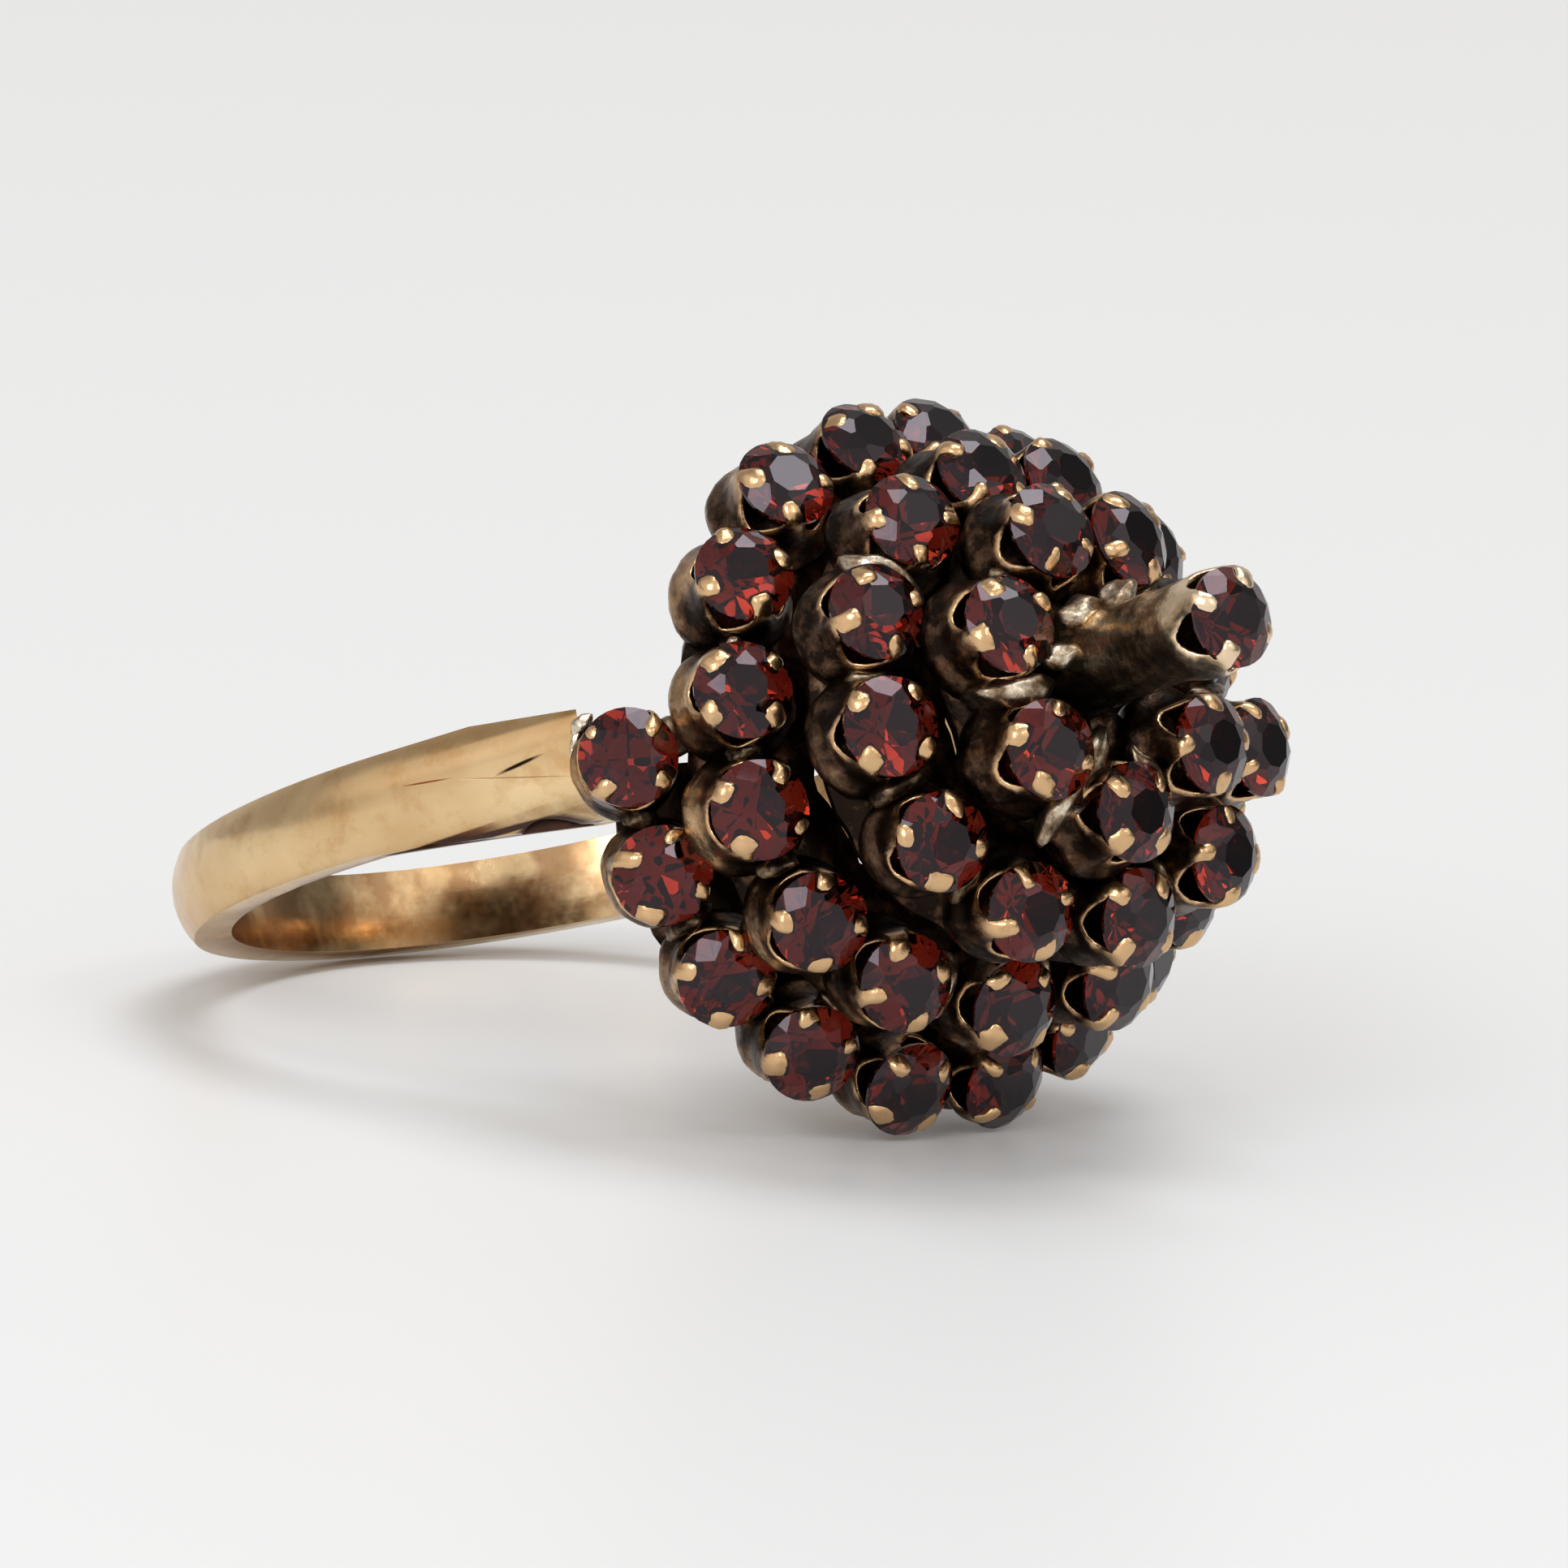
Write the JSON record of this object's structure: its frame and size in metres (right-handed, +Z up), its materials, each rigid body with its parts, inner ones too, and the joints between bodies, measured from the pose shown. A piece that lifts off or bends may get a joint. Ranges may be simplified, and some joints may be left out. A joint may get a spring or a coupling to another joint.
{
  "type": "garnet cluster ring",
  "caption": "Finger ring with a tapered half-round gold band and a tall domed head of small round garnets in claw cups that wind up in a spiral to one stone on a tube.",
  "frame": {"origin": "centre of the underside of the ring's box, on the table it lies on", "axes": "+X along the table from the back of the band to the head's top stone, +Z up from the table, +Y to the far side; the finger hole leans 25 degrees from +Z towards -X"},
  "size_m": [0.031, 0.0196, 0.0167],
  "materials": {
    "band_gold": "worn soft polish",
    "head_gold": "polished claws over dulled cups",
    "garnet": "faceted and polished"
  },
  "bodies": {
    "root": {"shank": "band_gold", "head": "head_gold", "stone_01": "garnet", "stone_02": "garnet", "stone_03": "garnet", "stone_04": "garnet", "stone_05": "garnet", "stone_06": "garnet", "stone_07": "garnet", "stone_08": "garnet", "stone_09": "garnet", "stone_10": "garnet", "stone_11": "garnet", "stone_12": "garnet", "stone_13": "garnet", "stone_14": "garnet", "stone_15": "garnet", "stone_16": "garnet", "stone_17": "garnet", "stone_18": "garnet", "stone_19": "garnet", "stone_20": "garnet", "stone_21": "garnet", "stone_22": "garnet", "stone_23": "garnet", "stone_24": "garnet", "stone_25": "garnet", "stone_26": "garnet", "stone_27": "garnet", "stone_28": "garnet", "stone_29": "garnet", "stone_30": "garnet", "stone_31": "garnet", "stone_32": "garnet", "stone_33": "garnet", "stone_34": "garnet", "stone_35": "garnet", "stone_36": "garnet", "stone_37": "garnet", "stone_38": "garnet", "stone_39": "garnet", "stone_40": "garnet", "stone_41": "garnet", "stone_42": "garnet", "stone_43": "garnet", "stone_44": "garnet", "stone_45": "garnet"}
  },
  "joints": []
}
